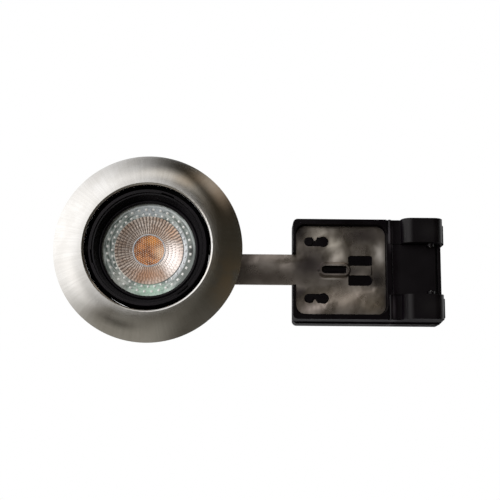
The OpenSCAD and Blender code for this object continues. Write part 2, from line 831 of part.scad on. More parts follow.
module front_outside() {
    round_box(box_x, recess_end_x + box_corner + 1, box_half, rim_z, split_z, box_corner);
    translate([recess_end_x, -box_half, flap_z])
        cube([box_end_x - recess_end_x, 2 * box_half, split_z - flap_z]);
}

module box_front() {
    plate_half = plate_side / 2 + plate_gap;
    color([0.08, 0.08, 0.09]) difference() {
        union() {
            difference() {
                front_outside();
                // all in front of the end of the box is cut back, then the two blocks stand on it
                translate([recess_end_x, -box_half - 1, rim_z - 1])
                    cube([end_len + 1, box_w + 2, valley_z - rim_z + 1]);
            }
            translate([recess_end_x, -bay_half - 1, flap_z]) cube([2.7, 2 * bay_half + 2, 4]);
            front_blocks();
        }
        // recess for the plate, with its notch for the arm
        translate([plate_x - plate_gap, -plate_half, rim_z - 1])
            linear_extrude(plate_back_z - rim_z + 1)
                round_rect(plate_side + 2 * plate_gap, 2 * plate_half, plate_corner);
        translate([box_x - 1, -arm_w / 2 - plate_gap, rim_z - 1])
            cube([10, arm_w + 2 * plate_gap, plate_back_z - rim_z + 1]);
        // hollow behind the plate
        difference() {
            round_box(box_x + box_wall, bay_end_x, cavity_half, floor_z, split_z + 1, box_corner - 1);
            for (x = screw_x, s = [-1, 1])
                translate([x, s * screw_y, floor_z - 1]) cylinder(r = screw_post_r, h = front_depth + 2);
        }
        // hollow under each hump
        for (s = [0, 1])
            mirror([0, s, 0])
                along_y(bay_half + box_wall, cavity_half) {
                    translate([core_x + 3, hump_top_z + box_wall + 3]) circle(3);
                    translate([core_x, hump_top_z + box_wall + 3])
                        square([core_end_x - core_x, floor_z - hump_top_z]);
                    translate([core_x + 3, hump_top_z + box_wall])
                        square([core_end_x - core_x - 3, floor_z - hump_top_z]);
                }
        // bay with the window to the terminals
        translate([bay_x, -bay_half, rim_z - hump_h - 1])
            cube([bay_end_x - bay_x, 2 * bay_half, flap_back_z + seat_fit - rim_z + hump_h + 1]);
        translate([window_x, -window_half, rim_z]) cube([window_end_x - window_x, 2 * window_half, 12]);
        translate([flap_pin_x - flap_tail_r * 0.6, -bay_half, flap_z])
            cube([bay_end_x - flap_pin_x + flap_tail_r * 0.6, 2 * bay_half,
                flap_pin_z + flap_tail_r + mould_fit - flap_z]);
        // holes for the flap pins and the case screws
        for (s = [-1, 1])
            translate([flap_pin_x, 0, flap_pin_z])
                rod_y(flap_pin_r, s > 0 ? bay_half - 1 : -bay_half - 6, s > 0 ? bay_half + 6 : -bay_half + 1);
        for (x = screw_x, s = [-1, 1])
            translate([x, s * screw_y, floor_z + 0.4]) cylinder(r = screw_r + pin_fit, h = front_depth);
    }
    // pegs in the keyhole slots and the key in the raised boss
    color([0.08, 0.08, 0.09]) {
        for (s = [-1, 1])
            translate([lobe_near_x, s * keyhole_y, arm_z - 0.3]) cylinder(r = peg_r, h = floor_t + arm_t);
        translate([boss_x + 1.9, -0.7, arm_z + 0.4]) cube([boss_len - 3.8, 1.4, arm_t + 1]);
    }
}

module box_rear() {
    color([0.07, 0.07, 0.08]) difference() {
        union() {
            difference() {
                union() {
                    round_box(rear_x, box_end_x, rear_half, split_z, back_z, box_corner);
                    for (s = [0, 1]) mirror([0, s, 0]) inlet_block(rear_half, split_z, back_z);
                }
                round_box(rear_x + box_wall, bay_end_x, rear_half - box_wall, split_z - 1, back_z - box_wall,
                    rear_corner_in);
            }
            for (x = screw_x, s = [-1, 1])
                translate([x, s * screw_y, split_z]) cylinder(r = screw_post_r, h = rear_depth - lap);
        }
        for (x = screw_x, s = [-1, 1])
            translate([x, s * screw_y, 0]) {
                translate([0, 0, split_z - 1]) cylinder(r = screw_r + 0.15, h = rear_depth + 2);
                translate([0, 0, back_z - 1.7]) cylinder(r = screw_head_r + 0.3, h = 3);
            }
        for (s = [-1, 1])
            translate([0, s * inlet_y, inlet_z]) rod_x(grommet_r, bay_end_x - 1, box_end_x + inlet_out + 1);
        translate([0, 0, inlet_z]) rod_x(lead_r + 1.2, rear_x - 1, rear_x + box_wall + 1);
    }
}

module case_screws() {
    color([0.75, 0.75, 0.75])
        for (x = screw_x, s = [-1, 1])
            translate([x, s * screw_y, 0]) {
                translate([0, 0, floor_z + 1.4]) cylinder(r = screw_r, h = back_z - 1.4 - floor_z - 1.4);
                translate([0, 0, back_z - 1.7]) difference() {
                    cylinder(r = screw_head_r, h = 1.5);
                    translate([0, 0, 1.5]) cross_recess();
                }
            }
}

module cable_grommet() {
    color([0.12, 0.12, 0.12])
        translate([0, 0, inlet_z])
            difference() {
                union() {
                    rod_x(grommet_r - 0.02, bay_end_x - 0.8, box_end_x + inlet_out + 0.6);
                    rod_x(grommet_flange_r, bay_end_x - 1.6, bay_end_x - 0.02);
                }
                rod_x(cable_d / 2, bay_end_x - 3, box_end_x + inlet_out + 3);
            }
}

module cable_grommet_a() {
    translate([0, inlet_y, 0]) cable_grommet();
}

module cable_grommet_b() {
    translate([0, -inlet_y, 0]) cable_grommet();
}

module lead_grommet() {
    color([0.12, 0.12, 0.12])
        translate([0, 0, inlet_z])
            difference() {
                union() {
                    rod_x(lead_r + 1.18, rear_x - 0.6, rear_x + box_wall + 0.6);
                    rod_x(lead_r + 2, rear_x - 0.9, rear_x - 0.02);
                    rod_x(lead_r + 2, rear_x + box_wall + 0.02, rear_x + box_wall + 0.9);
                }
                rod_x(lead_r, rear_x - 3, rear_x + box_wall + 3);
            }
}

module flap_pins() {
    color([0.85, 0.85, 0.85])
        for (s = [0, 1])
            mirror([0, s, 0])
                translate([flap_pin_x, 0, flap_pin_z])
                    rod_y(flap_pin_r - 0.02, bay_half - flap_ear_t - 0.5, bay_half + 5.5);
}

module terminal_flap() {
    gap = mould_fit;
    half = bay_half - gap;
    color([0.07, 0.07, 0.08]) difference() {
        union() {
            translate([bay_x + gap, -half, flap_z]) cube([flap_tail_x - bay_x - gap, 2 * half, flap_t]);
            for (s = [0, 1])
                mirror([0, s, 0])
                    along_y(half - flap_ear_t, half) {
                        translate([flap_pin_x, flap_pin_z]) circle(flap_ear_r);
                        translate([flap_pin_x - flap_ear_r, flap_pin_z])
                            square([2 * flap_ear_r, flap_back_z - flap_pin_z]);
                    }
        }
        translate([flap_pin_x, 0, flap_pin_z]) rod_y(flap_pin_r + pin_fit, -half - 1, half + 1);
    }
}

// ---------- terminal block ----------

function pole_y(i) = (i - (poles - 1) / 2) * pole_pitch;

module terminal_block() {
    color([0.93, 0.92, 0.88]) difference() {
        translate([block_x - block_len / 2, -block_half, block_front_z])
            cube([block_len, 2 * block_half, block_h]);
        for (i = [0 : poles - 1])
            translate([block_x, pole_y(i), 0]) {
                translate([0, 0, wire_z]) rod_x(insert_r + 0.05, -block_len, block_len);
                for (s = [-1, 1])
                    translate([s * clamp_screw_x, 0, block_front_z - 1])
                        cylinder(r = clamp_head_r + 0.15, h = wire_z - block_front_z + 1);
            }
    }
}

module terminal_inserts() {
    color([0.8, 0.65, 0.3])
        for (i = [0 : poles - 1])
            translate([block_x, pole_y(i), wire_z])
                difference() {
                    rod_x(insert_r, 0.6 - block_len / 2, block_len / 2 - 0.6);
                    rod_x(wire_r, -block_len, block_len);
                    for (s = [-1, 1])
                        translate([s * clamp_screw_x, 0, -5]) cylinder(r = clamp_shank_r + 0.05, h = 5);
                }
}

module terminal_screws() {
    color([0.75, 0.75, 0.7])
        for (i = [0 : poles - 1], s = [-1, 1])
            translate([block_x + s * clamp_screw_x, pole_y(i), 0])
                difference() {
                    union() {
                        translate([0, 0, block_front_z + 1]) cylinder(r = clamp_head_r, h = 2.2);
                        translate([0, 0, block_front_z + 2])
                            cylinder(r = clamp_shank_r, h = wire_z - block_front_z - 2.6);
                    }
                    translate([-3, -0.3, block_front_z]) cube([6, 0.6, 1.8]);
                }
}

trim_ring();
trim_gasket();
mounting_ring();
arm_bracket();
arm_rivets();
box_front();
box_rear();
case_screws();
flap_pins();
terminal_flap();
cable_grommet_a();
cable_grommet_b();
lead_grommet();
terminal_block();
terminal_inserts();
terminal_screws();
gimbal_ring();
pivot_pins();
pivot_washers();
baffle_ring();
lamp_lens();
lamp_reflector();
led_board();
led_patch();
lamp_cap();
driver_board();
lamp_pins();
holder_body();
holder_cap();
holder_contacts();
holder_screws();
retaining_spring_a();
retaining_spring_b();
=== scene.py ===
import math

import bpy
import numpy as np
from mathutils import Matrix, Vector


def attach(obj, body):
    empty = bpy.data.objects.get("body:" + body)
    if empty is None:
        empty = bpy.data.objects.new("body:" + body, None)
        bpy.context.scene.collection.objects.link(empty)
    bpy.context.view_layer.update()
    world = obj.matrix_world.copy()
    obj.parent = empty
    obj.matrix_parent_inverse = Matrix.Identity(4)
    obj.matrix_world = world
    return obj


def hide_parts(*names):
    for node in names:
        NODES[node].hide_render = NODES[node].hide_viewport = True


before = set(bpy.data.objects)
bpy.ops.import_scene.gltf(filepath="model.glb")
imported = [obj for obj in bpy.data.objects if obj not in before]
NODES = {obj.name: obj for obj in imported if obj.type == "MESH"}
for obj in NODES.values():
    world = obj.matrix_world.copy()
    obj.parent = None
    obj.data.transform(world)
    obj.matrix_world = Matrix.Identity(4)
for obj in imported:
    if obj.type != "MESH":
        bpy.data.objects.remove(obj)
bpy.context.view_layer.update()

MM = 0.001

# The camera, as it was fitted to the photograph: where it is, and where its three axes point.
CAMERA_PLACE = (0.04494, 0.08337, -0.4684)
CAMERA_RIGHT = Vector((0.99993, -0.00743, -0.009))
CAMERA_DOWN = Vector((0.00888, 0.98467, 0.17418))
CAMERA_AHEAD = Vector((0.00757, -0.17425, 0.98467))
CAMERA_LENS = 72
CAMERA_SENSOR = 36

# The moulded face of the lamp, in mm: a core of round bumps, a plain lip, rows of facets, and a clear margin
# with two rings of dots.
LENS_FACE = 5.3
LENS_THICK = 2.2
LENS_RIM_R = 23.65
CORE_R = 7.3
CORE_PITCH = 0.98
FACET_IN = 8.0
FACET_ROWS = 5
FACET_ROW_W = 1.72
FACET_OUT = FACET_IN + FACET_ROWS * FACET_ROW_W
SECTORS = 60
DOT_RINGS = (17.6, 20.0)
DOTS = 36
DOT_R = 0.55
AROUND = 360

# Depths of that face behind the lamp's front, and the heights of what stands on it, in mm.
DISH_DEPTH, DISH_RISE = 1.15, 0.75
CORE_DEPTH, CORE_BUMP_H = 1.05, 0.26
CORE_CENTRE_DEPTH = 0.9
LIP_DEPTH, LIP_H = 0.95, 0.3
FACET_H = 0.16
MARGIN_DEPTH, MARGIN_WAVE = 0.55, 0.12
DOT_H = 0.3
RIM_DEPTH, RIM_W = 0.12, 1.2

# The core's bumps: the sum of three waves, 120 degrees apart.
BUMP_WAVE = 4 * math.pi / (math.sqrt(3) * CORE_PITCH)
BUMP_SLANT = 0.8660254

# The ridge of the terminal box beside the plate, in mm.
RIDGE_X = 123.1
RIDGE_HALF_W = 1.5
RIDGE_RISE = 0.35

# The floor and the soft lamp, in m and W.
FLOOR_Z = -0.8
FLOOR_HALF = 4.0
LAMP_PLACE = (-0.22, -0.10, -0.78)
LAMP_AIM = Vector((0.04, 0.0, 0.0))
LAMP_SIZE = 0.5
LAMP_POWER = 3.4

WHITE = (1.0, 1.0, 1.0)


# ---------- camera ----------

def make_camera():
    """The photograph's viewing angle: from below the soffit, a little to the side of the arm."""
    data = bpy.data.cameras.new("camera")
    data.sensor_width = CAMERA_SENSOR
    data.lens = CAMERA_LENS
    data.clip_start = 0.01
    data.clip_end = 20
    cam = bpy.data.objects.new("camera", data)
    bpy.context.scene.collection.objects.link(cam)
    turn = Matrix((CAMERA_RIGHT, -CAMERA_DOWN, -CAMERA_AHEAD)).transposed().to_4x4()
    cam.matrix_world = Matrix.Translation(CAMERA_PLACE) @ turn
    bpy.context.scene.camera = cam


# ---------- node trees ----------

def rgba(value):
    """A colour for a socket: another node's output as it is, or three numbers made opaque."""
    return value if isinstance(value, bpy.types.NodeSocket) else (*value, 1.0)


class Graph:
    """A node tree, with short calls for the nodes used here. A value is a number or another node's output."""

    def __init__(self, tree):
        self.tree = tree

    def node(self, kind, **props):
        made = self.tree.nodes.new(kind)
        for key, value in props.items():
            setattr(made, key, value)
        return made

    def feed(self, socket, value):
        if isinstance(value, bpy.types.NodeSocket):
            self.tree.links.new(value, socket)
        else:
            socket.default_value = value

    def math(self, how, a, b=0.0, c=0.0):
        made = self.node("ShaderNodeMath", operation=how)
        for socket, value in zip(made.inputs, (a, b, c)):
            self.feed(socket, value)
        return made.outputs[0]

    def plus(self, a, b):
        return self.math("ADD", a, b)

    def less(self, a, b):
        return self.math("SUBTRACT", a, b)

    def times(self, product, *values):
        for value in values:
            product = self.math("MULTIPLY", product, value)
        return product

    def vector(self, how, *values):
        made = self.node("ShaderNodeVectorMath", operation=how)
        for socket, value in zip(made.inputs, values):
            self.feed(socket, value)
        return made.outputs["Value" if how == "LENGTH" else "Vector"]

    def parts(self, vector):
        made = self.node("ShaderNodeSeparateXYZ")
        self.feed(made.inputs[0], vector)
        return made.outputs

    def span(self, value, low, high, to_low=0.0, to_high=1.0):
        """A value between low and high, carried over softly to the range from to_low to to_high."""
        made = self.node("ShaderNodeMapRange", interpolation_type="SMOOTHSTEP")
        self.feed(made.inputs["Value"], value)
        for key, number in (("From Min", low), ("From Max", high), ("To Min", to_low), ("To Max", to_high)):
            made.inputs[key].default_value = number
        return made.outputs["Result"]

    def mix(self, factor, a, b, how="MIX"):
        made = self.node("ShaderNodeMix", data_type="RGBA", blend_type=how)
        self.feed(made.inputs["Factor"], factor)
        for socket, value in zip([s for s in made.inputs if s.type == "RGBA"], (a, b)):
            self.feed(socket, rgba(value))
        return next(s for s in made.outputs if s.type == "RGBA")


class Shader(Graph):
    """A material round one Principled shader, with its textures in the piece's own coordinates."""

    def __init__(self, name, rough=0.5, metal=0.0, **sockets):
        self.material = bpy.data.materials.new(name)
        self.material.use_nodes = True
        super().__init__(self.material.node_tree)
        self.bsdf = self.tree.nodes["Principled BSDF"]
        for key, value in {"Roughness": rough, "Metallic": metal, "IOR": 1.5, **sockets}.items():
            self.drive(key.replace("_", " "), value)
        self.coords = self.node("ShaderNodeTexCoord").outputs["Object"]

    def drive(self, socket, value):
        self.feed(self.bsdf.inputs[socket], value)

    def colour(self, value):
        self.drive("Base Color", rgba(value))

    def rough(self, value):
        self.drive("Roughness", value)

    def noise(self, scale, detail=3.0, rough=0.5, vector=None, output="Fac"):
        made = self.node("ShaderNodeTexNoise")
        made.inputs["Scale"].default_value = scale
        made.inputs["Detail"].default_value = detail
        made.inputs["Roughness"].default_value = rough
        self.feed(made.inputs["Vector"], self.coords if vector is None else vector)
        return made.outputs[output]

    def polar(self):
        """Radius from the cut-out axis, and the unit direction across it."""
        flat = self.vector("MULTIPLY", self.coords, (1, 1, 0))
        return self.vector("LENGTH", flat), self.vector("NORMALIZE", flat)

    def turns(self):
        """Angle round the cut-out axis, as a share of a full turn."""
        x, y, _ = self.parts(self.coords)
        return self.math("DIVIDE", self.math("ARCTAN2", y, x), 2 * math.pi)

    def drawn_round(self, coarse, fine):
        """Coordinates that draw noise out round the axis: coarse along the turn, fine across it."""
        radius, unit = self.polar()
        x, y, _ = self.parts(self.vector("MULTIPLY", unit, (coarse, coarse, 0)))
        made = self.node("ShaderNodeCombineXYZ")
        for socket, value in zip(made.inputs, (x, y, self.times(radius, fine))):
            self.feed(socket, value)
        return made.outputs[0]

    def wave(self, value, count):
        """0 to 1 and back, count times while the value grows by 1."""
        cosine = self.math("COSINE", self.times(value, 2 * math.pi * count))
        return self.math("MULTIPLY_ADD", cosine, 0.5, 0.5)

    def band(self, radius, low, high, soft):
        """1 between two radii in mm, with soft edges."""
        rise = self.span(radius, (low - soft) * MM, (low + soft) * MM)
        return self.times(rise, self.span(radius, (high + soft) * MM, (high - soft) * MM))

    def spot(self, x, y, radius_x, radius_y):
        """1 at a place on the XY plane, falling softly to 0 at the radii, all in mm."""
        moved = self.vector("SUBTRACT", self.coords, (x * MM, y * MM, 0))
        shaped = self.vector("MULTIPLY", moved, (1 / (radius_x * MM), 1 / (radius_y * MM), 0))
        return self.span(self.vector("LENGTH", shaped), 1.0, 0.0)

    def blot(self, base, x, y, radius_x, radius_y, colour, share=1.0):
        """The base colour, with a soft spot of another colour on it."""
        return self.mix(self.times(self.spot(x, y, radius_x, radius_y), share), base, colour)

    def relief(self, height, distance, under=None):
        """The normal of the surface that this height makes, laid over another normal where there is one."""
        made = self.node("ShaderNodeBump")
        made.inputs["Strength"].default_value = 1.0
        made.inputs["Distance"].default_value = distance
        self.feed(made.inputs["Height"], height)
        if under is not None:
            self.feed(made.inputs["Normal"], under)
        return made.outputs[0]

    def bump(self, height, depth_mm, edge_mm=0.0, under=None):
        """Surface relief, with edges softened over edge_mm, or laid over another normal."""
        if edge_mm:
            bevel = self.node("ShaderNodeBevel", samples=4)
            bevel.inputs["Radius"].default_value = edge_mm * MM
            under = bevel.outputs[0]
        self.drive("Normal", self.relief(height, depth_mm * MM, under))


# ---------- materials ----------

def brushed_bezel():
    """Round-brushed steel, with faint rays across the lay, painted warm reflections on its dim side and a
    painted shadow at its lower left.
    """
    s = Shader("trim_steel", rough=0.3, metal=1.0, Anisotropic=0.35)
    unit = s.polar()[1]
    streak = s.noise(1.0, 3.0, 0.6, s.drawn_round(5, 5200))
    rays = s.noise(30, 3.0, 0.6, unit)
    cloud = s.noise(95, 3.0, 0.55)
    tone = s.mix(streak, (0.64, 0.635, 0.625), (0.80, 0.795, 0.785))
    tone = s.mix(s.span(rays, 0.35, 0.65, 0.0, 0.34), tone, (0.86, 0.855, 0.85))
    tone = s.mix(s.span(cloud, 0.42, 0.62, 0.0, 0.25), tone, (0.56, 0.54, 0.51))
    # a painted warm reflection on the dim right side, broken up by the cloud
    tone = s.blot(tone, 40, 16, 16, 24, (0.95, 0.80, 0.62), s.span(cloud, 0.38, 0.6))
    # painted warm reflections at the upper right and a painted shadow at the lower left: centre, radii,
    # colour and its share
    for tone_patch in (
        (36, -22, 16, 16, (0.62, 0.53, 0.43), 0.75),
        (20, -33, 11, 7, (0.78, 0.63, 0.46), 0.5),
        (-20, 31.5, 13, 6, (0.36, 0.335, 0.30), 0.6),
    ):
        tone = s.blot(tone, *tone_patch)
    s.colour(tone)
    s.rough(s.span(streak, 0.2, 0.8, 0.14, 0.23))
    s.drive("Tangent", s.node("ShaderNodeTangent", direction_type="RADIAL", axis="Z").outputs[0])
    s.bump(s.plus(streak, s.times(cloud, 6)), 0.006)
    return s.material


def mill_steel():
    """Soft cold-rolled sheet, slightly dented and unevenly toned, as the arm and its plate are, with painted
    highlights and painted shade in patches.
    """
    s = Shader("arm_steel", rough=0.32, metal=1.0)
    along = s.parts(s.coords)[0]
    tone_patch = s.noise(120, 3.0, 0.5)
    tone = s.mix(s.span(tone_patch, 0.3, 0.7), (0.40, 0.36, 0.33), (0.50, 0.455, 0.425))
    height = s.times(s.noise(75, 2.0, 0.45), 0.16 * MM)
    stray = s.vector("SUBTRACT", s.noise(110, 2.0, 0.5, output="Color"), (0.5, 0.5, 0.5))
    straight = s.coords
    s.coords = s.vector("ADD", straight, s.vector("MULTIPLY", stray, (0.006, 0.006, 0)))
    # painted highlights and painted shade: centre, radii, colour and its share, and how far the sheet leans
    # towards the bright side
    for x, y, rx, ry, colour, share, lean in (
        (81, -3, 17, 13, (0.10, 0.085, 0.09), 0.92, -0.02),
        (76, -21, 7, 8, (0.10, 0.09, 0.10), 0.9, -0.02),
        (87, -20, 12, 8, (0.68, 0.63, 0.56), 0.85, 0.05),
        (94, -14, 11, 8, (0.74, 0.69, 0.61), 0.85, 0.08),
        (97, -7, 10, 6, (0.85, 0.79, 0.71), 0.7, 0.08),
        (110, -19, 17, 9, (0.15, 0.13, 0.13), 0.9, 0.0),
        (119, -9, 8, 10, (0.86, 0.82, 0.78), 0.85, 0.08),
        (118, 4, 9, 8, (0.13, 0.12, 0.13), 0.85, -0.02),
        (105, 1, 8, 4, (0.20, 0.18, 0.18), 0.8, 0.0),
        (101, 15, 27, 9, (0.84, 0.73, 0.64), 0.8, 0.06),
        (115, 19, 10, 7, (0.72, 0.63, 0.54), 0.8, 0.03),
        (84, 20, 14, 7, (0.80, 0.70, 0.66), 0.8, 0.05),
        (76, 13, 5, 5, (0.12, 0.10, 0.11), 0.85, 0.0),
        (58, -7, 26, 5, (0.58, 0.51, 0.465), 0.8, 0.035),
        (69, -3, 8, 6, (0.55, 0.49, 0.45), 0.7, 0.02),
        (56, 4, 34, 7, (0.15, 0.125, 0.11), 0.85, 0.0),
        (43, -3, 17, 11, (0.13, 0.11, 0.10), 0.88, 0.0),
    ):
        here = s.spot(x, y, rx, ry)
        tone = s.mix(s.times(here, share), tone, colour)
        height = s.plus(height, s.times(s.less(along, x * MM), s.times(here, lean)))
    s.coords = straight
    # painted highlights along the two long edges of the boss round the slot
    tone = s.blot(tone, 93, 4.7, 8, 0.9, (1.0, 0.96, 0.92), 0.9)
    tone = s.blot(tone, 93, -3.6, 8, 0.7, (0.9, 0.86, 0.82), 0.6)
    s.colour(tone)
    s.rough(s.span(tone_patch, 0.25, 0.75, 0.26, 0.34))
    s.bump(height, 1 / MM)
    return s.material


def plain_metal(name, low, high, rough, grain=900):
    """Flecked metal between a dark and a light tone."""
    s = Shader(name, metal=1.0)
    fleck = s.noise(grain, 4.0, 0.6)
    cloud = s.noise(grain / 9, 2.0)
    s.colour(s.mix(s.span(s.times(s.plus(fleck, cloud), 0.5), 0.35, 0.65), low, high))
    s.rough(s.span(cloud, 0.3, 0.7, rough * 0.8, rough * 1.25))
    s.bump(fleck, 0.01, 0.12)
    return s.material


def moulded(name, low, high, rough, grain, depth_mm, edge_mm=0.3, **sockets):
    """A moulded, cast or painted skin, grained and a little clouded."""
    s = Shader(name, **sockets)
    skin = s.noise(grain, 3.0, 0.55)
    cloud = s.noise(70, 3.0)
    s.colour(s.mix(s.span(cloud, 0.3, 0.7), low, high))
    s.rough(s.span(s.times(s.plus(skin, cloud), 0.5), 0.3, 0.7, rough * 0.85, rough * 1.2))
    s.bump(skin, depth_mm, edge_mm)
    return s.material


def baffle_black():
    """Smooth black lacquer, a little greyer at the left and top, where the studio catches it."""
    s = Shader("gloss_black", Specular_IOR_Level=0.18)
    cloud = s.noise(70, 3.0)
    tone = s.mix(s.span(cloud, 0.3, 0.7), (0.0045, 0.0035, 0.0055), (0.0075, 0.006, 0.0085))
    # painted highlights, greyer at the left and at the top
    tone = s.blot(tone, -27, -4, 7, 17, (0.016, 0.0155, 0.018))
    tone = s.blot(tone, 3, -27, 17, 6, (0.015, 0.0135, 0.016))
    s.colour(tone)
    s.rough(s.span(cloud, 0.3, 0.7, 0.22, 0.31))
    s.bump(s.noise(1200, 3.0, 0.55), 0.004, 0.12)
    return s.material


def box_plastic():
    """The satin skin of the terminal box: duller walls and humps, a painted sheen on the humps, a painted
    highlight along the ridge, and the rounded crown of the ridge.
    """
    s = Shader("black_plastic")
    x, y, z = s.parts(s.coords)
    cloud = s.noise(70, 3.0)
    tone = s.mix(s.span(cloud, 0.3, 0.7), (0.0026, 0.0014, 0.0030), (0.0040, 0.0024, 0.0046))
    # a painted sheen on the right part of each hump
    for side in (-20, 20):
        tone = s.blot(tone, 144, side, 10, 9, (0.0095, 0.008, 0.0095))
    # a painted highlight along the ridge beside the plate, above and below the flap
    for ridge_highlight in ((124.2, -18), (125.2, 20.5)):
        tone = s.blot(tone, *ridge_highlight, 2.0, 11, (0.042, 0.036, 0.042))
    s.colour(tone)
    facing = s.parts(s.node("ShaderNodeTexCoord").outputs["Normal"])[2]
    wall = s.span(s.math("ABSOLUTE", facing), 0.55, 0.25)
    finish = s.plus(s.span(cloud, 0.3, 0.7, 0.18, 0.24), s.span(x, 126 * MM, 130 * MM, 0.0, 0.16))
    s.rough(s.plus(finish, s.times(wall, 0.4)))
    s.drive("Specular IOR Level", s.span(wall, 0.0, 1.0, 0.3, 0.05))
    away = s.math("DIVIDE", s.less(x, RIDGE_X * MM), RIDGE_HALF_W * MM)
    crown = s.math("MAXIMUM", s.less(1.0, s.times(away, away)), 0.0)
    under_lid = s.span(z, 56.5 * MM, 55.5 * MM)
    beside_flap = s.span(s.math("ABSOLUTE", y), 12.5 * MM, 13.5 * MM)
    crown = s.times(crown, under_lid, beside_flap)
    skin = s.noise(2600, 3.0, 0.55)
    s.bump(s.plus(s.times(skin, 0.012), s.times(crown, RIDGE_RISE)), 1.0, 0.3)
    return s.material


def clear_glass(name, tint, rough=0.05, grain=300):
    """Clear glass with a tint, slightly uneven."""
    s = Shader(name, Transmission_Weight=1.0)
    cloud = s.noise(grain, 2.0)
    s.colour(s.mix(cloud, tint, tuple(min(1.0, c * 1.06) for c in tint)))
    s.rough(s.span(cloud, 0.3, 0.7, rough * 0.7, rough * 1.4))
    s.bump(s.noise(grain * 0.6, 2.0), 0.03)
    return s.material


# ---------- lens of the lamp ----------

def lens_depth(r, a):
    """How far the moulded face lies behind the front of the lamp, in mm, at radius r and angle a."""
    dish = DISH_DEPTH - DISH_RISE * (np.minimum(r, FACET_OUT) / FACET_OUT) ** 2
    x, y = r * np.cos(a) * BUMP_WAVE, r * np.sin(a) * BUMP_WAVE
    waves = np.cos(x) + np.cos(x / 2 + y * BUMP_SLANT) + np.cos(x / 2 - y * BUMP_SLANT)
    core = CORE_DEPTH - CORE_BUMP_H * np.clip(waves / 3, 0, 1)
    lip = LIP_DEPTH - LIP_H * np.sin(np.pi * (r - CORE_R) / (FACET_IN - CORE_R))
    row = (r - FACET_IN) / FACET_ROW_W
    u = 2 * (row - np.floor(row)) - 1
    turn = a / (2 * math.pi) * SECTORS + 0.5 * np.mod(np.floor(row), 2)
    w = 2 * (turn - np.floor(turn)) - 1
    facets = dish - FACET_H * (1 - u ** 4) * (1 - w ** 2)
    margin = MARGIN_DEPTH + MARGIN_WAVE * np.cos((r - FACET_OUT) / (LENS_RIM_R - FACET_OUT) * math.pi)
    zones = [r < CORE_R, r < FACET_IN, r < FACET_OUT]
    depth = np.select(zones, [core, lip, facets], margin)
    for k, ring in enumerate(DOT_RINGS):
        sector = a / (2 * math.pi) * DOTS + 0.5 * k
        off = (sector - np.round(sector)) / DOTS * 2 * math.pi * r
        away = np.hypot(off, r - ring)
        depth = depth - DOT_H * np.clip(1 - (away / DOT_R) ** 2, 0, 1)
    return np.where(r > LENS_RIM_R - RIM_W, RIM_DEPTH, depth)


def lens_radii():
    """The radii of the face's rings of vertices: close in the core, and on each side of every groove."""
    core = np.linspace(0.12, CORE_R - 0.06, 44)
    lip = np.linspace(CORE_R, FACET_IN, 6)
    shares = (0.08, 0.25, 0.5, 0.75, 0.92, 0.999)
    rows = [FACET_IN + FACET_ROW_W * (i + share) for i in range(FACET_ROWS) for share in shares]
    margin = np.linspace(FACET_OUT + 0.15, LENS_RIM_R - 1.25, 26)
    rim = [LENS_RIM_R - 1.15, LENS_RIM_R - 0.6, LENS_RIM_R]
    return np.concatenate([core, lip, rows, margin, rim])


def lens_zone(r):
    """Which of the lens materials a face at this radius has."""
    return 0 if r < CORE_R else 1 if r < FACET_IN else 2 if r < FACET_OUT else 3


def make_lens(materials):
    """The moulded front of the lamp, closed with a wall and a flat back. It stands for the plain CAD lens."""
    radii = lens_radii()
    rings = len(radii)
    angles = np.arange(AROUND) / AROUND * 2 * math.pi
    rr, aa = np.meshgrid(radii, angles, indexing="ij")
    face = np.stack([rr * np.cos(aa), rr * np.sin(aa), LENS_FACE + lens_depth(rr, aa)], -1).reshape(-1, 3)
    back_z = LENS_FACE + LENS_THICK
    back = np.stack([LENS_RIM_R * np.cos(angles), LENS_RIM_R * np.sin(angles), np.full(AROUND, back_z)], -1)
    centres = np.array([[0, 0, LENS_FACE + CORE_CENTRE_DEPTH], [0, 0, back_z]])
    verts = np.concatenate([face, back, centres]) * MM
    last, edge = (rings - 1) * AROUND, rings * AROUND
    front_centre, back_centre = edge + AROUND, edge + AROUND + 1
    faces, slots = [], []
    for j in range(AROUND):
        k = (j + 1) % AROUND
        faces.append((front_centre, k, j))
        slots.append(0)
        for i in range(rings - 1):
            faces.append((i * AROUND + j, i * AROUND + k, (i + 1) * AROUND + k, (i + 1) * AROUND + j))
            slots.append(lens_zone((radii[i] + radii[i + 1]) / 2))
        faces.append((last + j, last + k, edge + k, edge + j))
        faces.append((edge + j, edge + k, back_centre))
        slots += [3, 3]
    mesh = bpy.data.meshes.new("lens_optics")
    mesh.from_pydata([tuple(v) for v in verts], [], faces)
    for m in materials:
        mesh.materials.append(m)
    mesh.polygons.foreach_set("material_index", slots)
    mesh.polygons.foreach_set("use_smooth", [True] * len(faces))
    mesh.update()
    lens = bpy.data.objects.new("lens_optics", mesh)
    bpy.context.scene.collection.objects.link(lens)
    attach(lens, "gimbal")
    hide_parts("lamp_lens")


def dished(s, slope):
    """The normal that makes a flat lens face reflect as a shallow dish does, with this slope at its edge."""
    radius = s.polar()[0]
    return s.relief(s.times(radius, radius, slope / (2 * LENS_RIM_R * MM)), 1.0)


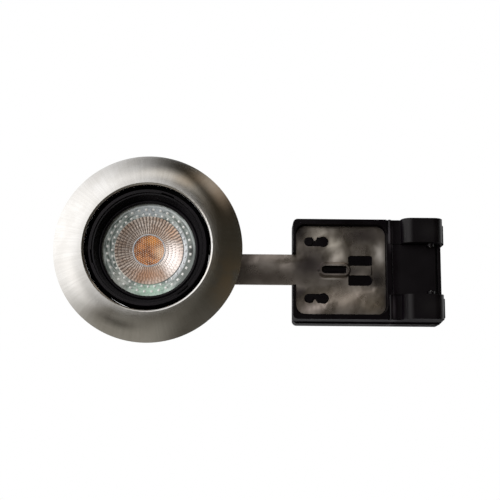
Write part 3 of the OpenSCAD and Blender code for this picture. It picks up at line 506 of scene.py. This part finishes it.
def lens_core():
    """The middle of the lens: round bumps that magnify the orange light source behind them, with painted
    glints on the bumps and painted highlights at the top and on the right.
    """
    s = Shader("lens_core", rough=0.2, metal=0.25, Coat_Weight=0.7, Coat_Roughness=0.06)
    x, y, _ = s.parts(s.vector("MULTIPLY", s.coords, (BUMP_WAVE / MM, BUMP_WAVE / MM, 0)))
    half, slant = s.times(x, 0.5), s.times(y, BUMP_SLANT)
    waves = [s.math("COSINE", way) for way in (x, s.plus(half, slant), s.less(half, slant))]
    bumps = s.plus(s.plus(waves[0], waves[1]), waves[2])
    speck = s.noise(420, 2.0)
    base = s.mix(s.span(speck, 0.35, 0.65), (0.30, 0.085, 0.015), (0.70, 0.25, 0.06))
    # painted highlights: a deeper orange at the top and a paler one on the right
    base = s.blot(base, 1.5, -4.6, 6, 4, (0.95, 0.36, 0.05), 0.9)
    base = s.blot(base, 5.4, 1.0, 4.6, 6, (1.0, 0.66, 0.42), 0.95)
    # painted glints on the tops of the bumps
    s.colour(s.mix(s.span(bumps, 0.9, 2.2, 0.0, 0.9), base, (1.0, 0.92, 0.80)))
    s.drive("Normal", dished(s, 0.2))
    return s.material


def lens_ring():
    """The plain lip round the core."""
    s = Shader("lens_ring", rough=0.12, metal=0.2)
    s.colour(s.mix(s.noise(500, 2.0), (0.50, 0.54, 0.60), (0.86, 0.88, 0.92)))
    s.drive("Normal", dished(s, 0.3))
    return s.material


def lens_facets():
    """The rows of small facets, with the light source and the studio broken up in them."""
    s = Shader("lens_facets", rough=0.2, Coat_Weight=0.5, Coat_Roughness=0.05)
    radius = s.polar()[0]
    speck = s.noise(700, 3.0, 0.6)
    cloud = s.noise(130, 2.0)
    ray = s.wave(s.turns(), SECTORS)
    row = s.wave(s.math("DIVIDE", s.less(radius, FACET_IN * MM), FACET_ROW_W * MM), 1)
    # the painted glare: a reflection of the studio on the right
    glare = s.math("POWER", s.spot(11.2, 3.8, 6.8, 9.8), 0.55)
    base = s.mix(s.span(speck, 0.3, 0.7), (0.64, 0.51, 0.43), (1.0, 0.88, 0.80))
    base = s.mix(s.span(cloud, 0.4, 0.7, 0.0, 0.7), base, (0.50, 0.31, 0.21))
    # painted orange tints of the light source at the bottom and upper right, and a paler patch at the upper
    # left
    base = s.blot(base, -1, 12, 12, 6, (0.56, 0.28, 0.155), 0.8)
    base = s.blot(base, 11, -9, 5, 5, (0.92, 0.56, 0.36), 0.6)
    base = s.blot(base, -6, -10, 9, 7, (0.80, 0.75, 0.71), 0.45)
    # grooves between the facets, clearest at the left, weak in the glare and at the bottom
    rings = s.times(s.span(row, 0.55, 0.99, 0.0, 0.8), s.spot(-12, -3, 12, 15))
    groove = s.math("MAXIMUM", s.span(ray, 0.35, 0.9, 0.0, 0.85), rings)
    groove = s.times(groove, s.less(1.0, s.times(glare, 0.8)))
    groove = s.times(groove, s.less(1.0, s.times(s.spot(2, 13, 16, 9), 0.75)))
    base = s.mix(groove, base, (0.12, 0.085, 0.068))
    # painted shade in the cells at the left
    cells = s.span(s.times(s.less(1.0, ray), s.less(1.0, row)), 0.3, 0.75, 0.0, 0.5)
    base = s.blot(base, -10, -3.5, 7.5, 9.5, (0.045, 0.032, 0.027), cells)
    # the painted glare laid over the right
    s.colour(s.mix(s.times(glare, 0.95), base, (0.97, 0.90, 0.885)))
    s.drive("Metallic", s.span(glare, 0.0, 0.8, 0.15, 0.9))
    s.bump(speck, 0.05, under=dished(s, 0.42))
    return s.material


def lens_outer():
    """The clear margin: greenish glass with two rings of dots with painted glints, a painted pale reflection
    on the right, painted highlights in thin rings, and painted shade on the right.
    """
    s = Shader("lens_outer", rough=0.12, Coat_Roughness=0.04)
    radius = s.polar()[0]
    cloud = s.noise(1.0, 3.0, 0.6, s.drawn_round(4, 900))
    fine = s.noise(600, 3.0, 0.6)
    base = s.mix(s.span(cloud, 0.35, 0.65), (0.12, 0.16, 0.145), (0.60, 0.66, 0.64))
    # bluer at the top, greener at the bottom and paler at the lower left
    base = s.blot(base, 0, -19.5, 15, 6, (0.74, 0.80, 0.88), 0.7)
    base = s.blot(base, 1, 19.5, 15, 6, (0.52, 0.80, 0.64), 0.8)
    base = s.blot(base, -14, 14, 8, 8, (0.86, 0.88, 0.82), 0.5)
    # painted shade over the right, darkest at the middle of the right side, and at the lower right
    shade = s.math("POWER", s.times(s.band(radius, 18.4, 23, 0.3), s.spot(20, 6, 12, 24)), 0.6)
    base = s.mix(s.times(shade, 0.85), base, (0.10, 0.125, 0.115))
    dark = s.spot(20.4, 0.0, 2.4, 6.5)
    base = s.mix(s.times(dark, 0.95), base, (0.015, 0.02, 0.019))
    base = s.blot(base, 17.5, 10.5, 6, 8, (0.11, 0.13, 0.12), 0.85)
    base = s.mix(s.span(fine, 0.5, 0.7, 0.0, 0.45), base, (0.08, 0.10, 0.095))
    # painted glints on the two rings of dots
    turn = s.turns()
    for k, ring in enumerate(DOT_RINGS):
        dots = s.span(s.wave(s.plus(turn, -0.5 * k / DOTS), DOTS), 0.6, 0.9)
        base = s.mix(s.times(dots, s.band(radius, ring - 0.5, ring + 0.5, 0.2)), base, (1.0, 1.0, 0.98))
    # a painted pale reflection in a crescent on the right
    crescent = s.math("POWER", s.times(s.band(radius, 16.0, 18.4, 0.4), s.spot(17, 2, 15, 19)), 0.5)
    base = s.mix(s.times(crescent, 0.8), base, (0.74, 0.77, 0.82))
    # painted highlights in a thin ring at the lower left and round the outer edge
    inner = s.times(s.band(radius, 16.2, 16.9, 0.2), 0.9)
    base = s.blot(base, -13, 9, 10, 11, (1.0, 0.96, 0.88), inner)
    edge = s.times(s.band(radius, 21.3, 21.9, 0.2), 0.9)
    base = s.blot(base, 2, -12, 34, 26, (0.86, 0.92, 0.96), edge)
    s.colour(base)
    s.drive("Coat Weight", s.span(dark, 0.0, 1.0, 0.8, 0.1))
    s.drive("Metallic", s.span(crescent, 0.0, 0.9, 0.12, 0.4))
    s.bump(fine, 0.05, under=dished(s, 0.3))
    return s.material


# ---------- world, floor and lamp ----------

def make_world():
    """A plain white background, and below the horizon a studio that lights the object and shows in its metal:
    a broad light on the left, three small ones and a weak fill."""
    world = bpy.data.worlds.new("studio")
    bpy.context.scene.world = world
    world.use_nodes = True
    w = Graph(world.node_tree)
    w.tree.nodes.clear()
    x, y, z = w.parts(w.node("ShaderNodeTexCoord").outputs["Generated"])

    def distance(a, b):
        return w.math("SQRT", w.plus(w.math("POWER", a, 2.0), w.math("POWER", b, 2.0)))

    def light(x0, y0, radius):
        """1 where the direction meets the middle of a round soft light, 0 at its radius."""
        return w.span(distance(w.less(x, x0), w.less(y, y0)), radius, 0.0)

    # how far a direction lies on the left, a little down, round a point just off the middle
    level = w.plus(y, 0.15)
    side = w.plus(w.times(x, -0.904), w.times(level, -0.426))
    side = w.math("DIVIDE", side, w.plus(distance(x, level), 0.06))
    notch = w.less(1.0, w.times(light(-0.34, 0.48, 0.25), 0.85))
    broad = w.times(w.span(side, 0.17, 1.0, 0.0, 1.42), w.span(y, -0.5, -1.1, 1.0, 0.56), notch)
    fill = w.times(w.math("POWER", w.span(y, -1.03, 0.85), 2.0), w.span(x, 0.34, -0.08, 0.055, 0.25), notch)
    tone = w.mix(1.0, (0.025, 0.021, 0.014), w.mix(1.0, (1.0, 0.985, 0.972), broad, "MULTIPLY"), "ADD")
    for place, colour in (
        ((0.05, -0.61, 0.31), (0.56, 0.52, 0.46)),
        ((-0.66, 0.12, 0.36), (0.40, 0.39, 0.38)),
        ((0.54, -0.80, 0.31), (0.39, 0.33, 0.27)),
    ):
        tone = w.mix(light(*place), tone, colour, "ADD")
    tone = w.mix(1.0, tone, w.mix(1.0, (1.03, 0.97, 0.85), fill, "MULTIPLY"), "ADD")
    # matt surfaces get white from above the horizon too, but little from straight above
    above = w.span(z, -0.02, 0.12)
    tone = w.mix(above, tone, w.mix(w.span(z, 0.78, 0.92), WHITE, (0.03, 0.03, 0.03)))
    studio = w.node("ShaderNodeBackground")
    w.feed(studio.inputs["Color"], tone)
    plain = w.node("ShaderNodeBackground")
    w.feed(plain.inputs["Color"], rgba(WHITE))
    # the camera and clear pieces see plain white everywhere, and metal and gloss above the horizon
    path = w.node("ShaderNodeLightPath").outputs
    seen = w.math("MAXIMUM", path["Is Camera Ray"], path["Is Transmission Ray"])
    seen = w.math("MAXIMUM", seen, w.times(path["Is Glossy Ray"], above))
    both = w.node("ShaderNodeMixShader")
    for socket, value in zip(both.inputs, (seen, studio.outputs[0], plain.outputs[0])):
        w.feed(socket, value)
    w.feed(w.node("ShaderNodeOutputWorld").inputs[0], both.outputs[0])


def make_floor():
    """A pale floor well below the fitting, seen only in views from above."""
    s = Shader("floor_pale", rough=0.8)
    s.colour(s.mix(s.noise(6, 2.0), (0.86, 0.86, 0.85), (0.90, 0.90, 0.89)))
    mesh = bpy.data.meshes.new("floor")
    corners = [(x * FLOOR_HALF, y * FLOOR_HALF, FLOOR_Z) for x, y in ((-1, -1), (1, -1), (1, 1), (-1, 1))]
    mesh.from_pydata(corners, [], [(0, 1, 2, 3)])
    mesh.materials.append(s.material)
    floor = bpy.data.objects.new("floor", mesh)
    bpy.context.scene.collection.objects.link(floor)
    floor.visible_diffuse = False
    floor.visible_glossy = False
    floor.visible_transmission = False


def make_lamp():
    """A broad soft lamp below the fitting. It brings matt surfaces to the level of their written colour."""
    lamp = bpy.data.lights.new("soft_lamp", "AREA")
    lamp.size = LAMP_SIZE
    lamp.energy = LAMP_POWER
    thing = bpy.data.objects.new("soft_lamp", lamp)
    thing.location = LAMP_PLACE
    aim = LAMP_AIM - thing.location
    thing.rotation_euler = aim.to_track_quat("-Z", "Y").to_euler()
    thing.visible_glossy = False
    thing.visible_camera = False
    bpy.context.scene.collection.objects.link(thing)


# ---------- the pieces and their materials ----------

# nodes, material, dark and light tone, roughness, and the grain where it is not the usual one
METALS = (
    ("arm_rivets", "rivet_alloy", (0.60, 0.60, 0.60), (0.74, 0.74, 0.73), 0.35),
    ("case_screws holder_screws terminal_screws", "screw_zinc", (0.55, 0.56, 0.58), (0.75, 0.76, 0.78), 0.25),
    ("pivot_pins pivot_washers", "dark_steel", (0.05, 0.05, 0.05), (0.09, 0.09, 0.09), 0.4),
    ("flap_pins", "pin_steel", (0.60, 0.60, 0.60), (0.80, 0.80, 0.80), 0.2),
    ("retaining_spring_a retaining_spring_b", "spring_steel",
     (0.45, 0.44, 0.42), (0.66, 0.65, 0.62), 0.26, 600),
    ("terminal_inserts holder_contacts", "terminal_brass", (0.60, 0.42, 0.15), (0.82, 0.62, 0.28), 0.3),
    ("lamp_pins", "contact_nickel", (0.60, 0.57, 0.48), (0.80, 0.77, 0.66), 0.25),
    ("led_board", "board_alloy", (0.70, 0.70, 0.69), (0.85, 0.85, 0.84), 0.5),
)

# nodes, material, dark and light tone, roughness, grain and its depth in mm, and the softened edge in mm
MOULDED = (
    ("trim_gasket", "foam", (0.02, 0.02, 0.02), (0.035, 0.035, 0.035), 0.9, 1500, 0.15),
    ("cable_grommet_a cable_grommet_b lead_grommet", "black_rubber",
     (0.012, 0.012, 0.012), (0.02, 0.02, 0.02), 0.6, 1800, 0.02),
    ("lamp_cap", "cap_plastic", (0.76, 0.76, 0.74), (0.82, 0.82, 0.80), 0.42, 1500, 0.012),
    ("holder_body holder_cap", "holder_ceramic", (0.72, 0.68, 0.60), (0.82, 0.78, 0.70), 0.5, 2200, 0.03),
    ("driver_board", "circuit_board", (0.02, 0.12, 0.05), (0.04, 0.20, 0.09), 0.4, 900, 0.02, 0.1),
    ("led_patch", "phosphor", (0.80, 0.42, 0.10), (0.90, 0.52, 0.16), 0.5, 1500, 0.02, 0.1),
)


def dress(names, material):
    """Gives a material to the CAD nodes with these names."""
    for name in names.split():
        slots = NODES[name].data.materials
        slots.clear()
        slots.append(material)


make_camera()
make_world()
make_floor()
make_lamp()

bpy.context.scene.view_settings.view_transform = "Standard"

for names, *look in METALS:
    dress(names, plain_metal(*look))
for names, *look in MOULDED:
    dress(names, moulded(*look))
dress("trim_ring", brushed_bezel())
dress("arm_bracket", mill_steel())
dress("box_front box_rear terminal_flap", box_plastic())
dress("baffle_ring", baffle_black())
dress("lamp_reflector", clear_glass("bowl_glass", (0.86, 0.93, 0.90)))
dress("mounting_ring", moulded(
    "cast_coat", (0.008, 0.008, 0.008), (0.014, 0.014, 0.014), 0.7, 1500, 0.03, 0.2,
    Specular_IOR_Level=0.15))
dress("gimbal_ring", moulded(
    "black_paint", (0.005, 0.004, 0.006), (0.008, 0.006, 0.009), 0.36, 2200, 0.012, 0.2,
    Specular_IOR_Level=0.25))
dress("terminal_block", moulded(
    "natural_plastic", (0.74, 0.72, 0.65), (0.82, 0.80, 0.74), 0.45, 1500, 0.02, 0.3,
    Subsurface_Weight=0.15))
make_lens([lens_core(), lens_ring(), lens_facets(), lens_outer()])
